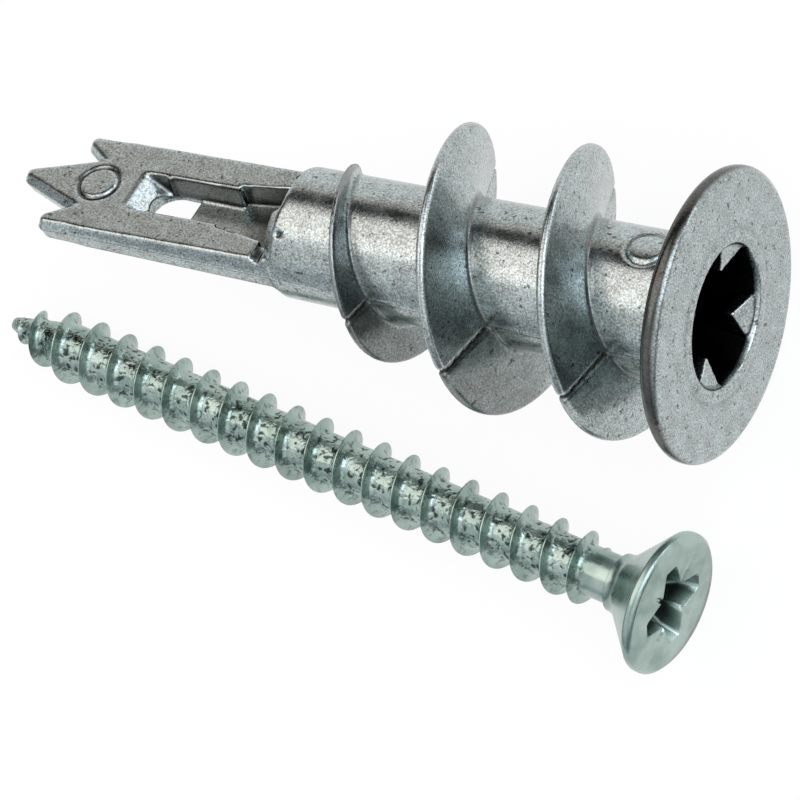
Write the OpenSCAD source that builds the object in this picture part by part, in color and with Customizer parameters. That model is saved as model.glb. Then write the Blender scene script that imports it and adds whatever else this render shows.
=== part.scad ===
// Self-drilling wall anchor of die-cast zinc with its countersunk screw.
// The origin is on the anchor's axis in the back face of the flange, which meets the wall.
// +X runs along the axis out of the wall and +Z is up from the surface that the pair lies on.

/* [Flange] */
// Diameter of the flange
flange_d = 14.2; // [13.6:0.1:17]
// Thickness of the flange
flange_t = 0.8; // [0.8:0.05:1.5]
// Rounding of the flange's rim
flange_round = 0.36; // [0.2:0.02:0.38]

/* [Barrel] */
// Diameter of the barrel at the flange
barrel_d = 7; // [6.7:0.1:7.4]
// Length of the barrel behind the flange
barrel_l = 23.8; // [21:0.2:26]
// How much slimmer the barrel is at its far end
barrel_taper = 0.5; // [0.3:0.05:0.7]
// Length of the cone at the barrel's far end
barrel_nose = 1.1; // [0.6:0.1:1.6]

/* [Flights] */
// Diameter over the full flights
flight_d = 13.6; // [12:0.1:14]
// Advance of the full flights in one turn
flight_pitch = 6.4; // [6:0.1:6.8]
// Advance of the first turn, in which the crest grows
lead_pitch = 5.75; // [5.4:0.05:6.2]
// Thickness of a flight at its crest
flight_crest_t = 0.5; // [0.3:0.05:0.6]
// Slope of a flight's face on the flange's side
flight_draft = 12; // [8:0.5:15]
// Growth of the crest's radius in each half turn of the lead-in
flight_growth = 1.6; // [1.4:0.1:1.8]

/* [Blade] */
// Width of the blade over its flat faces
blade_w = 6.05; // [5.8:0.05:6.3]
// Thickness of the blade
blade_t = 1.9; // [1.6:0.1:2.2]
// Length of the blade ahead of the barrel
blade_l = 14.3; // [13:0.1:17]
// How far the side prongs sit behind the middle point
prong_back = 2.35; // [1.6:0.05:2.8]
// How far the notches reach behind the middle point
notch_back = 3.8; // [3.4:0.1:4.2]
// Distance of each notch from the axis
notch_y = 1.62; // [1.4:0.02:1.8]
// Width of the window between the rails
window_w = 2.4; // [2.2:0.1:2.8]
// Distance of the window from the middle point
window_back = 6.45; // [6:0.05:7]
// Turn of the blade about the axis from lying flat
blade_roll = 45; // [0:1:60]

/* [Bore and mouth] */
// Diameter of the bore that the screw cuts into
bore_d = 3; // [2.6:0.1:3.2]
// Diameter of the mouth in the flange's face
mouth_d = 7; // [6.4:0.1:7.2]
// Distance between facing driver ribs in the mouth
rib_gap = 4; // [3.6:0.1:4.2]

/* [Screw] */
// Length of the screw over its head
screw_l = 40.4; // [36:0.2:44]
// Diameter of the screw's head
head_d = 7.2; // [7:0.1:8]
// Diameter over the thread's crests
thread_d = 3.6; // [3.4:0.05:4]
// Diameter of the threaded core
core_d = 2.45; // [2.3:0.05:2.7]
// Advance of the thread in one turn
thread_pitch = 1.768; // [1.5:0.002:2]
// Diameter of the plain neck under the head
neck_d = 2.95; // [2.75:0.05:3.2]

/* [Layout] */
// Place of the screw's head along the axis
screw_x = -1.13; // [-4:0.01:4]
// Distance of the screw's head from the axis, sideways
screw_y = -14.27; // [-18:0.01:-13.5]
// Turn of the screw on the surface it lies on
screw_yaw = -9.03; // [-10:0.01:0]

/* [Hidden] */
$fn = 44;
zinc = "#9aa09c";
plated_steel = "#aebab4";
flange_r = flange_d / 2;
barrel_r = barrel_d / 2;
barrel_end_r = (barrel_d - barrel_taper) / 2;
barrel_end_x = -barrel_l;
tip_x = barrel_end_x - blade_l;

// Flights: one helix in half turns, each with its own side of the die. At the parting plane the
// crests meet, while the roots step, because each half turn's root runs flatter than its crest.
flight_r = flight_d / 2;
half_turns = 6;
flight_sides = 16;
flight_end_x = -2.1;
flight_run_out = 5;
flight_fade = 11;
flange_fillet = 0.5;
front_share = 0.6;
back_draft = 7;
root_step = 0.2;
seam_angle = 1.2;
flight_in_r = barrel_end_r - 0.4;
flight_start_r = barrel_end_r + 0.15;
// Crest radius after a number of half turns
function crest_r(n) =
  min(flight_r, flight_start_r + flight_growth * n,
      flight_start_r + flight_fade * (half_turns + flight_run_out / flight_sides - n));
// Advance of one half turn
function advance(n) = (n < 2 ? lead_pitch : flight_pitch) * (n % 2 == 0 ? front_share : 1 - front_share);
// Place of the crest's middle at the start of a half turn
function crest_x(n) = n >= half_turns ? flight_end_x : crest_x(n + 1) - advance(n);

// Blade: the side faces slope out to the parting plane, and the plate thins towards its three
// blunt points.
blade_draft = 0.12;
blade_half = blade_w / 2 + blade_draft;
blade_root_x = barrel_end_x + 1;
front_thinning = 0.5;
back_thinning = 0.2;
// Height of one of the plate's faces over the parting plane, at a place along the axis
function face_z(x, thinning) = blade_t / 2 - thinning * (blade_root_x - x) / (blade_root_x - tip_x);
blunt = 0.3;
prong_x = tip_x + prong_back;
notch_x = tip_x + notch_back;
// One side of the outline, from the middle point past the notch and the prong to the barrel
blade_side =
  [[tip_x, blunt * 0.4], [tip_x + blunt * 0.7, blunt], [notch_x, notch_y],
   [prong_x + blunt / 2, blade_half - blunt * 1.7], [prong_x, blade_half - blunt],
   [prong_x + blunt, blade_half], [blade_root_x, blade_half]];
blade_mark_d = 2.1;
blade_mark_x = tip_x + 4.4;
blade_mark_z = face_z(blade_mark_x, front_thinning) + 0.15;
pad_d = 2.4;
pad_x = -3.1;
pad_y = 0.3;
pad_z = barrel_r + 0.03;

// Window: a curved ramp at the point end, a hole through, then a shelf and a flare into the bore.
window_x = tip_x + window_back;
window_half = window_w / 2;
shelf_z = -0.55;
ramp_z = face_z(window_x, front_thinning) - 0.07;
ramp_r = ramp_z - shelf_z + 0.1;
ramp_c = [window_x + ramp_r, ramp_z];
hole_x = window_x + 0.8;
shelf_x = hole_x + 2.2;
flare_l = 3.1;
flare_r1 = 1.57;
flare_r2 = 2.38;
flare_sink = 0.7;
flare_x = barrel_end_x + flare_sink - flare_l;

// Mouth: a tapered driver recess with four ribs, then the bore.
mouth_r = mouth_d / 2;
recess_r = 2.75;
recess_sink = 3.4;
bore_sink = 4.4;
rib_base = 2.6;
rib_top_sink = 0.2;
rib_seat = 0.2;
rib_drop = 0.5;

// Screw: it lies with its head and the crests near its point on the surface.
head_r = head_d / 2;
head_land = 0.5;
head_chamfer = 0.18;
thread_r = thread_d / 2;
core_r = core_d / 2;
neck_r = neck_d / 2;
cone_angle = 45;
neck_blend_r = 1.6;
neck_l = 0.4;
point_l = 3.6;
point_r = 0.12;
thread_root_half = 0.42;
thread_crest_half = 0.05;
thread_start = 0.45;
thread_growth = 0.3;
thread_sides = 16;
thread_turn = -221;
thread_sink = 0.15;
drive_r = 2.15;
drive_slot = 0.95;
drive_depth = 2.2;
drive_core = 1.9;
drive_turn = 20;
blend_x = -head_land - (head_r - neck_r) - neck_blend_r * tan(cone_angle / 2);
neck_end_x = blend_x - neck_l;
thread_start_x = -screw_l + thread_start;
thread_end_x = neck_end_x - thread_root_half;
thread_steps = floor((thread_end_x - thread_start_x) / thread_pitch * thread_sides);
screw_pitch_angle = asin((head_r - thread_r) / (screw_l - point_l));
screw_z = -flange_r + head_r * cos(screw_pitch_angle);
cut = 0.01;

// Lays a shape that was turned about Z along the axis instead
module along_axis() {
  rotate([0, 90, 0])
    children();
}

// Revolves an outline given as [place along the axis, radius]
module turned(outline) {
  along_axis()
    rotate_extrude()
      polygon([for (p = outline) [p.y, p.x]]);
}

// A block given by its two corners
module block(a, b) {
  translate(a)
    cube(b - a);
}

module flange() {
  along_axis()
    rotate_extrude() {
      square([flange_r - flange_round, flange_t]);
      translate([0, flange_round])
        square([flange_r, flange_t - 2 * flange_round]);
      for (x = [flange_round, flange_t - flange_round])
        translate([flange_r - flange_round, x])
          circle(flange_round);
    }
}

module barrel() {
  nose_x = barrel_end_x + barrel_nose;
  turned([[barrel_end_x, 0], [barrel_end_x, flare_r2 + 0.12], [nose_x, barrel_end_r],
          [-flange_fillet, barrel_r], [cut, barrel_r + flange_fillet], [cut, 0]]);
}

// Four points across a flight, from its root on the point's side to its root on the flange's side
function flight_section(n, i) =
  let (a = seam_angle + (180 - 2 * seam_angle) * i / flight_sides,
       r = crest_r(n + a / 180),
       rise = r - flight_in_r,
       x = crest_x(n) + advance(n) * a / 180,
       root_x = x + root_step * cos(a) * rise / (flight_r - flight_in_r),
       half = flight_crest_t / 2,
       deepest = flange_t / 2)
  [for (p = [[root_x - half - rise * tan(back_draft), flight_in_r], [x - half, r],
             [x + half, r], [root_x + half + rise * tan(flight_draft), flight_in_r]])
    [min(p.x, deepest), p.y * cos(180 * n + a), p.y * sin(180 * n + a)]];

// A closed skin over sections of four points, for a ridge that winds to the right
module ridge(sections) {
  last = 4 * (len(sections) - 1);
  flanks = [for (i = [0 : len(sections) - 2], k = [0 : 3])
              let (a = 4 * i + k, b = 4 * i + (k + 1) % 4)
              each [[a, b, b + 4], [a, b + 4, a + 4]]];
  ends = [[0, 2, 1], [0, 3, 2], [last, last + 1, last + 2], [last, last + 2, last + 3]];
  polyhedron([for (s = sections) each s], concat(flanks, ends));
}

// The flights, which end inside the flange
module flights() {
  ridge([for (n = [0 : half_turns], i = [0 : n < half_turns ? flight_sides : flight_run_out])
           flight_section(n, i)]);
}

module blade() {
  other_side = [for (i = [len(blade_side) - 1 : -1 : 0]) [blade_side[i].x, -blade_side[i].y]];
  intersection() {
    translate([0, 0, -blade_t])
      linear_extrude(2 * blade_t)
        polygon(concat(blade_side, other_side));
    translate([tip_x - 1, 0, 0])
      rotate([90, 0, 90])
        linear_extrude(blade_l + 3)
          polygon([[blade_half, 0], [blade_w / 2, blade_t / 2], [-blade_w / 2, blade_t / 2],
                   [-blade_half, 0], [-blade_w / 2, -blade_t / 2], [blade_w / 2, -blade_t / 2]]);
    rotate([90, 0, 0])
      linear_extrude(2 * blade_w, center = true)
        polygon([[tip_x, face_z(tip_x, front_thinning)], [blade_root_x, blade_t / 2],
                 [blade_root_x, -blade_t / 2], [tip_x, -face_z(tip_x, back_thinning)]]);
  }
}

module window() {
  intersection() {
    translate([ramp_c.x, 0, ramp_c.y])
      rotate([90, 0, 0])
        cylinder(r = ramp_r, h = window_w, center = true);
    block([window_x - 1, -window_w, -blade_t], [ramp_c.x, window_w, blade_t]);
  }
  translate([0, 0, -blade_t])
    linear_extrude(2 * blade_t)
      polygon(concat([for (a = [90 : 15 : 270]) [hole_x + window_half, 0] + window_half * [cos(a), sin(a)]],
                     [[shelf_x, -window_half], [shelf_x, window_half]]));
  block([ramp_c.x - cut, -window_half, shelf_z], [flare_x + flare_l / 2, window_half, blade_t]);
  intersection() {
    turned([[flare_x, 0], [flare_x, flare_r1], [flare_x + flare_l, flare_r2], [flare_x + flare_l, 0]]);
    block([flare_x - 1, -blade_w, shelf_z], [flare_x + flare_l + 1, blade_w, blade_w]);
  }
}

// Driver recess and bore, as one turned cut
module mouth_and_bore() {
  bore_r = bore_d / 2;
  turned([[flange_t + cut, 0], [flange_t + cut, mouth_r],
          [flange_t - recess_sink, recess_r], [flange_t - bore_sink, bore_r],
          [barrel_end_x - cut, bore_r], [barrel_end_x - cut, 0]]);
}

// Four pointed ribs that a cross-tip driver turns
module driver_ribs() {
  base_x = flange_t - bore_sink - 1;
  intersection() {
    for (a = [45 : 90 : 315])
      rotate([a, 0, 0])
        translate([base_x, 0, 0])
          rotate([90, 0, 90])
            linear_extrude(bore_sink + 1)
              polygon([[rib_gap / 2, 0], [mouth_r + 0.1, rib_base / 2], [mouth_r + 0.1, -rib_base / 2]]);
    turned([[base_x, 0], [base_x, recess_r], [flange_t - recess_sink, recess_r + rib_seat],
            [flange_t - rib_top_sink, mouth_r + rib_seat / 2],
            [flange_t - rib_top_sink - rib_drop, rib_gap / 2 - 0.1],
            [flange_t - rib_top_sink - rib_drop, 0]]);
  }
}

module anchor_casting() {
  color(zinc)
    rotate([-blade_roll, 0, 0]) {
      difference() {
        union() {
          flange();
          barrel();
          blade();
          flights();
          translate([pad_x, pad_y, 0])
            cylinder(d = pad_d, h = pad_z);
          translate([blade_mark_x, 0, 0])
            cylinder(d = blade_mark_d, h = blade_mark_z);
        }
        mouth_and_bore();
        window();
      }
      driver_ribs();
    }
}

// Cross recess in the screw's head
module drive_recess() {
  along_axis()
    intersection() {
      rotate(drive_turn)
        translate([0, 0, -drive_depth])
          linear_extrude(drive_depth + 1) {
            square([2 * drive_r, drive_slot], center = true);
            square([drive_slot, 2 * drive_r], center = true);
            rotate(45)
              square(drive_core, center = true);
          }
      translate([0, 0, -drive_depth])
        cylinder(r1 = drive_slot / 2, r2 = drive_r, h = drive_depth + cut);
    }
}

// Core radius at a place along the screw, which narrows to the point
function core_at(x) = min(core_r, point_r + (core_r - point_r) * (x + screw_l) / point_l);

// Crest radius at a place along the screw, which grows from the point and runs out at the neck
function crest_at(x) =
  min(thread_r, core_at(x) + (x - thread_start_x) / point_l + thread_growth,
      core_r + (thread_end_x - x) / thread_pitch * 1.5);

// Four points across the thread from flank to flank, a number of steps along it
function thread_section(i) =
  let (a = thread_turn + i * 360 / thread_sides,
       x = thread_start_x + i * thread_pitch / thread_sides,
       root = core_at(x) - min(thread_sink, core_at(x) / 2),
       crest = crest_at(x))
  [for (p = [[-thread_root_half, root], [-thread_crest_half, crest],
             [thread_crest_half, crest], [thread_root_half, root]])
    [x + p.x, p.y * cos(a), p.y * sin(a)]];

module screw_body() {
  blend_c = [blend_x, neck_r + neck_blend_r];
  turned(concat(
    [[-screw_l, 0], [-screw_l, point_r], [-screw_l + point_l, core_r],
     [neck_end_x, core_r], [neck_end_x + (neck_r - core_r), neck_r]],
    [for (a = [0 : 9 : cone_angle]) blend_c + neck_blend_r * [sin(a), -cos(a)]],
    [[-head_land, head_r], [-head_chamfer, head_r], [0, head_r - head_chamfer], [0, 0]]));
  ridge([for (i = [0 : thread_steps]) thread_section(i)]);
}

module countersunk_screw() {
  color(plated_steel)
    translate([screw_x, screw_y, screw_z])
      rotate([0, -screw_pitch_angle, screw_yaw])
        difference() {
          screw_body();
          drive_recess();
        }
}

anchor_casting();
countersunk_screw();
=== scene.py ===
"""Dressed model of a self-drilling wall anchor and the countersunk screw that lies beside it.

Lengths in the classes are millimetres in the part's own frame: the origin is on the anchor's axis in
the back face of the flange, +X runs along the axis out of the wall, and +Z is up from the table.
The casting is a distance field, negative inside, that is skinned with quads. The screw is wound ring by ring.
"""

import logging
import math
from dataclasses import dataclass
from enum import Enum
from typing import Any

import bmesh
import bpy
import numpy as np
from mathutils import Matrix, Vector


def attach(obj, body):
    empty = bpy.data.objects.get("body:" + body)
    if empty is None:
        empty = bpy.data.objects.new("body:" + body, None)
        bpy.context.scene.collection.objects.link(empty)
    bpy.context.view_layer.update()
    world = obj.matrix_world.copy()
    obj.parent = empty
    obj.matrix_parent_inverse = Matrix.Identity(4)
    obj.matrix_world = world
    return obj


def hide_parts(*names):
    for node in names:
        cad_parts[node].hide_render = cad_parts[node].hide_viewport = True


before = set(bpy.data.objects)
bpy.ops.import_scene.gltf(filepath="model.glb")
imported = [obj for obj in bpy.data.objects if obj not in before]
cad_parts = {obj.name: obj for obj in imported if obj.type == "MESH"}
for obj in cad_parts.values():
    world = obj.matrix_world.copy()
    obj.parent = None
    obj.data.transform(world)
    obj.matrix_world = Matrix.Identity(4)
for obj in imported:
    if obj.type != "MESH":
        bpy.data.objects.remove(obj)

LOG = logging.getLogger("wall_anchor")
MM = 0.001
IMAGE_PX = 800
TABLE_Z = -7.1
# distance that stands for far away
FAR = 9.0
# a slim cone's distance as a share of the distance along its radius
CONE_SHARE = 0.95
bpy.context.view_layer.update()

# place along the axis and radius of a ring, each one number or one for every direction
Level = tuple[float | np.ndarray, float | np.ndarray]


class Body(Enum):
    """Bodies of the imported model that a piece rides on."""

    ANCHOR = "anchor"
    SCREW = "screw"


class Slot(Enum):
    """Material slots of the record."""

    CASTING = "die_cast_zinc"
    SCREW = "zinc_plated_steel"


def linear(hex_colour: str) -> tuple[float, float, float, float]:
    """Turns an sRGB hex colour into linear RGBA.

    Args:
        hex_colour: colour as "#rrggbb".

    Returns:
        The linear red, green, blue and an alpha of 1.
    """
    channels = [int(hex_colour[i:i + 2], 16) / 255 for i in (1, 3, 5)]
    return (*(c / 12.92 if c <= 0.04045 else ((c + 0.055) / 1.055) ** 2.4 for c in channels), 1.0)


def empty_tree(owner: bpy.types.Material | bpy.types.World) -> bpy.types.NodeTree:
    """Clears the node tree of a new material or world.

    Args:
        owner: the material or world.

    Returns:
        Its node tree, with no nodes.
    """
    owner.use_nodes = True
    owner.node_tree.nodes.clear()
    return owner.node_tree


def add_node(tree: bpy.types.NodeTree, kind: str, settings: dict[Any, Any] | None = None,
             links: dict[Any, bpy.types.NodeSocket] | None = None) -> bpy.types.Node:
    """Adds a node with its settings and links.

    Args:
        tree: node tree that gets the node.
        kind: Blender's name of the node type.
        settings: values by property name, or by input name or number. "stops" holds the sRGB colours of a
            colour ramp by their places, in rising order.
        links: output sockets by the name or number of the input that they feed.

    Returns:
        The new node.
    """
    node = tree.nodes.new(kind)
    for key, value in (settings or {}).items():
        if key == "stops":
            first, *between, last = value
            elements = node.color_ramp.elements
            elements[0].position, elements[0].color = first, linear(value[first])
            elements[1].position, elements[1].color = last, linear(value[last])
            for place in between:
                elements.new(place).color = linear(value[place])
        elif isinstance(key, str) and hasattr(node, key):
            setattr(node, key, value)
        else:
            node.inputs[key].default_value = value
    for key, socket in (links or {}).items():
        tree.links.new(socket, node.inputs[key])
    return node


def smooth_min(a: np.ndarray, b: np.ndarray, blend: float) -> np.ndarray:
    """Joins two distance fields with a fillet about blend wide."""
    near = np.maximum(blend - np.abs(a - b), 0) / blend
    return np.minimum(a, b) - near * near * (blend / 4)


def smooth_max(a: np.ndarray, b: np.ndarray, blend: float) -> np.ndarray:
    """Intersects two distance fields with an edge rounded over about blend."""
    return -smooth_min(-a, -b, blend)


def ridge(off: np.ndarray, width: float) -> np.ndarray:
    """Height of a soft ridge, 1 on its line and fading over a width to both sides."""
    return np.exp(-(off / width) ** 2)


def polygon_distance(x: np.ndarray, y: np.ndarray, corners: list[tuple[float, float]]) -> np.ndarray:
    """Signed distance to a polygon, negative inside.

    Args:
        x: places along the first axis.
        y: places along the second axis, which broadcast with x.
        corners: the polygon's corners in order.

    Returns:
        The distance at every place.
    """
    best = np.full(np.broadcast(x, y).shape, np.inf, np.float32)
    inside = np.zeros(best.shape, bool)
    for (ax, ay), (bx, by) in zip(corners, corners[1:] + corners[:1]):
        ex, ey = bx - ax, by - ay
        along = np.clip(((x - ax) * ex + (y - ay) * ey) / (ex * ex + ey * ey), 0, 1)
        best = np.minimum(best, np.hypot(x - ax - along * ex, y - ay - along * ey))
        if ey:
            inside ^= ((ay > y) != (by > y)) & (x < ax + (y - ay) * ex / ey)
    return np.where(inside, -best, best)


def skin(values: np.ndarray, low: np.ndarray, step: float) -> tuple[np.ndarray, np.ndarray, np.ndarray]:
    """Skins the zero level of a distance field with quads.

    Args:
        values: field on a regular grid.
        low: the grid's lowest corner.
        step: the grid's spacing.

    Returns:
        Vertices, quads and the field's normal at every vertex.
    """
    solid = values < 0
    shape = np.array(values.shape) - 1
    count = np.zeros(shape, np.int8)
    corners = [np.array([i >> 2 & 1, i >> 1 & 1, i & 1]) for i in range(8)]
    for c in corners:
        count += solid[c[0]:c[0] + shape[0], c[1]:c[1] + shape[1], c[2]:c[2] + shape[2]]
    cells = np.argwhere((count > 0) & (count < 8))
    number = np.full(shape, -1, np.int32)
    number[tuple(cells.T)] = np.arange(len(cells))
    # a cell's vertex is the mean of the places where the cell's edges cross the zero level
    place = np.zeros((len(cells), 3))
    crossings = np.zeros((len(cells), 1))
    for axis in range(3):
        along = np.eye(3, dtype=int)[axis]
        for c in corners:
            if c[axis]:
                continue
            f0 = values[tuple((cells + c).T)]
            f1 = values[tuple((cells + c + along).T)]
            cut = (f0 < 0) != (f1 < 0)
            share = np.where(cut, f0 / np.where(cut, f0 - f1, 1), 0)
            place += np.where(cut[:, None], c + share[:, None] * along, 0)
            crossings += cut[:, None]
    place = cells + place / crossings
    # a quad joins the four cells round each grid edge that crosses the zero level
    quads = []
    for axis in range(3):
        along = np.eye(3, dtype=int)[axis]
        u, v = np.eye(3, dtype=int)[(axis + 1) % 3], np.eye(3, dtype=int)[(axis + 2) % 3]
        end = np.array(values.shape) - along
        first = solid[:end[0], :end[1], :end[2]]
        second = solid[along[0]:, along[1]:, along[2]:]
        for outward in (True, False):
            edges = np.argwhere(first & ~second if outward else second & ~first)
            ring = [edges - u - v, edges - v, edges, edges - u]
            quads.append(np.stack([number[tuple(r.T)] for r in (ring if outward else ring[::-1])], 1))
    place, normal = settle(values, place)
    return low + place * step, np.concatenate(quads), normal


def sample(values: np.ndarray, place: np.ndarray) -> np.ndarray:
    """Reads a field between its grid points.

    Args:
        values: field on a regular grid.
        place: points in grid steps.

    Returns:
        The field at every point.
    """
    inside = np.clip(place, 0, np.array(values.shape) - 2.001)
    low = inside.astype(int)
    share = inside - low
    total = np.zeros(len(inside))
    for i in range(8):
        corner = np.array([i >> 2 & 1, i >> 1 & 1, i & 1])
        total += values[tuple((low + corner).T)] * np.prod(np.where(corner, share, 1 - share), axis=1)
    return total


def settle(values: np.ndarray, place: np.ndarray, rounds: int = 2, reach: float = 0.6,
           most: float = 0.4) -> tuple[np.ndarray, np.ndarray]:
    """Moves points of a skin onto the field's zero level.

    Args:
        values: field on a regular grid.
        place: points in grid steps.
        rounds: number of moves.
        reach: distance in grid steps over which the slope is read.
        most: longest move in grid steps.

    Returns:
        The moved points and the field's unit normals there.
    """
    normal = np.zeros_like(place)
    for _ in range(rounds):
        slope = np.stack([sample(values, place + d) - sample(values, place - d)
                          for d in np.eye(3) * reach], 1) / (2 * reach)
        size = np.maximum(np.linalg.norm(slope, axis=1, keepdims=True), 1e-6)
        normal = slope / size
        move = sample(values, place)[:, None] / size
        place = place - normal * np.clip(move, -most, most)
    return place, normal


def bend(values: np.ndarray, place: np.ndarray, reach: float) -> np.ndarray:
    """Tells how sharply a skin bends, above 0 on outer edges and below 0 in hollows.

    Args:
        values: field on a regular grid.
        place: points of the skin in grid steps.
        reach: distance in grid steps over which the bend is read.

    Returns:
        The field's mean rise off the skin, in grid steps.
    """
    around = [sample(values, place + sign * d) for d in np.eye(3) * reach for sign in (-1, 1)]
    return np.mean(around, axis=0) - sample(values, place)


def mesh_object(name: str, points: np.ndarray, faces: list[list[int]]) -> bpy.types.Object:
    """Makes a smooth-shaded object from points in millimetres.

    Args:
        name: name of the object.
        points: vertices in the part's frame.
        faces: vertex numbers of each face.

    Returns:
        The object, linked into the scene.
    """
    mesh = bpy.data.meshes.new(name)
    mesh.from_pydata((points * MM).tolist(), [], faces)
    mesh.update()
    mesh.shade_smooth()
    obj = bpy.data.objects.new(name, mesh)
    bpy.context.scene.collection.objects.link(obj)
    return obj


@dataclass(frozen=True)
class DieCastZinc:
    """Zinc alloy as it leaves the die and the tumbling drum."""

    # to the eye: dull grey, mottled warm and cool, with rubbed edges and dark specks; painted shade blackens
    # the mouth and darkens hollows and a few other places
    warm: str = "#888c8a"
    middle: str = "#a5aeac"
    cool: str = "#c1cdcf"
    worn: str = "#b9c1c1"
    # painted shade in hollows, laid where the skin bends inwards
    hollow_shade: str = "#565a58"
    speck: str = "#5c5a55"
    # painted shade and painted dark reflections on flights, seam, rim, window and the corner by the barrel
    stain: str = "#3f3d38"
    # painted shade that blackens the mouth and the bore
    soot: str = "#101110"
    # the cast skin's own grain is finer than a pixel, so it is drawn coarser to show
    grain_mm: float = 0.1
    grain_depth_mm: float = 0.0045
    cloud_mm: float = 0.9
    ripple_mm: float = 0.5
    ripple_depth_mm: float = 0.04
    speck_mm: float = 0.3
    smoothest: float = 0.2
    roughest: float = 0.28

    def material(self) -> bpy.types.Material:
        """Builds the cast metal.

        Returns:
            The material, which reads the attribute edge, for worn edges and painted shade in hollows, and two
            attributes that paint shade: one at darker places of the anchor and one in the mouth and bore.
        """
        material = bpy.data.materials.new("die-cast zinc, tumbled")
        tree = empty_tree(material)
        where = add_node(tree, "ShaderNodeTexCoord").outputs["Object"]
        sizes = ((self.grain_mm, 3.0, 0.0), (self.cloud_mm, 4.0, 0.0), (self.ripple_mm, 2.0, 0.5),
                 (self.speck_mm, 2.0, 0.0))
        grain, cloud, ripple, specks = (
            add_node(tree, "ShaderNodeTexNoise",
                     {"Scale": 1 / (size * MM), "Detail": detail, "Roughness": 0.6, "Distortion": distortion},
                     {"Vector": where}).outputs["Fac"]
            for size, detail, distortion in sizes)
        edge, stain, soot = (add_node(tree, "ShaderNodeAttribute", {"attribute_name": name}).outputs["Fac"]
                             for name in ("edge", "stain", "soot"))
        share = add_node(tree, "ShaderNodeMath", {"operation": "MULTIPLY", 1: 0.25}, {0: cloud}).outputs[0]
        mottle = add_node(tree, "ShaderNodeMath", {"operation": "MULTIPLY_ADD", 1: 0.75},
                          {0: grain, 2: share}).outputs[0]
        rub = add_node(tree, "ShaderNodeMath", {"operation": "MULTIPLY_ADD", 1: 0.5},
                       {0: grain, 2: edge}).outputs[0]
        base = add_node(tree, "ShaderNodeValToRGB",
                        {"stops": {0.41: self.warm, 0.5: self.middle, 0.59: self.cool}},
                        {"Fac": mottle}).outputs["Color"]
        # each tint takes over as its amount goes from the first number to the second
        tints = ((self.speck, specks, 0.37, 0.3), (self.worn, rub, 0.6, 0.95),
                 # from here on the tints are painted shade: in hollows, at darker places of the anchor, and
                 # in the mouth and bore
                 (self.hollow_shade, edge, -0.12, -0.45), (self.stain, stain, 0.0, 1.0),
                 (self.soot, soot, 0.0, 1.0))
        for colour, amount, none, full in tints:
            share = add_node(tree, "ShaderNodeMapRange", {"From Min": none, "From Max": full},
                             {"Value": amount}).outputs[0]
            base = add_node(tree, "ShaderNodeMix", {"data_type": "RGBA", 7: linear(colour)},
                            {0: share, 6: base}).outputs[2]
        rough = add_node(tree, "ShaderNodeMapRange", {"From Min": 0.3, "From Max": 0.7,
                                                      "To Min": self.smoothest, "To Max": self.roughest},
                         {"Value": cloud}).outputs[0]
        fine = add_node(tree, "ShaderNodeBump", {"Strength": 0.9, "Distance": self.grain_depth_mm * MM},
                        {"Height": grain}).outputs["Normal"]
        waves = add_node(tree, "ShaderNodeBump", {"Strength": 0.22, "Distance": self.ripple_depth_mm * MM},
                         {"Height": ripple, "Normal": fine}).outputs["Normal"]
        shader = add_node(tree, "ShaderNodeBsdfPrincipled", {"Metallic": 1.0},
                          {"Base Color": base, "Roughness": rough, "Normal": waves})
        add_node(tree, "ShaderNodeOutputMaterial", links={"Surface": shader.outputs["BSDF"]})
        return material


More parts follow.
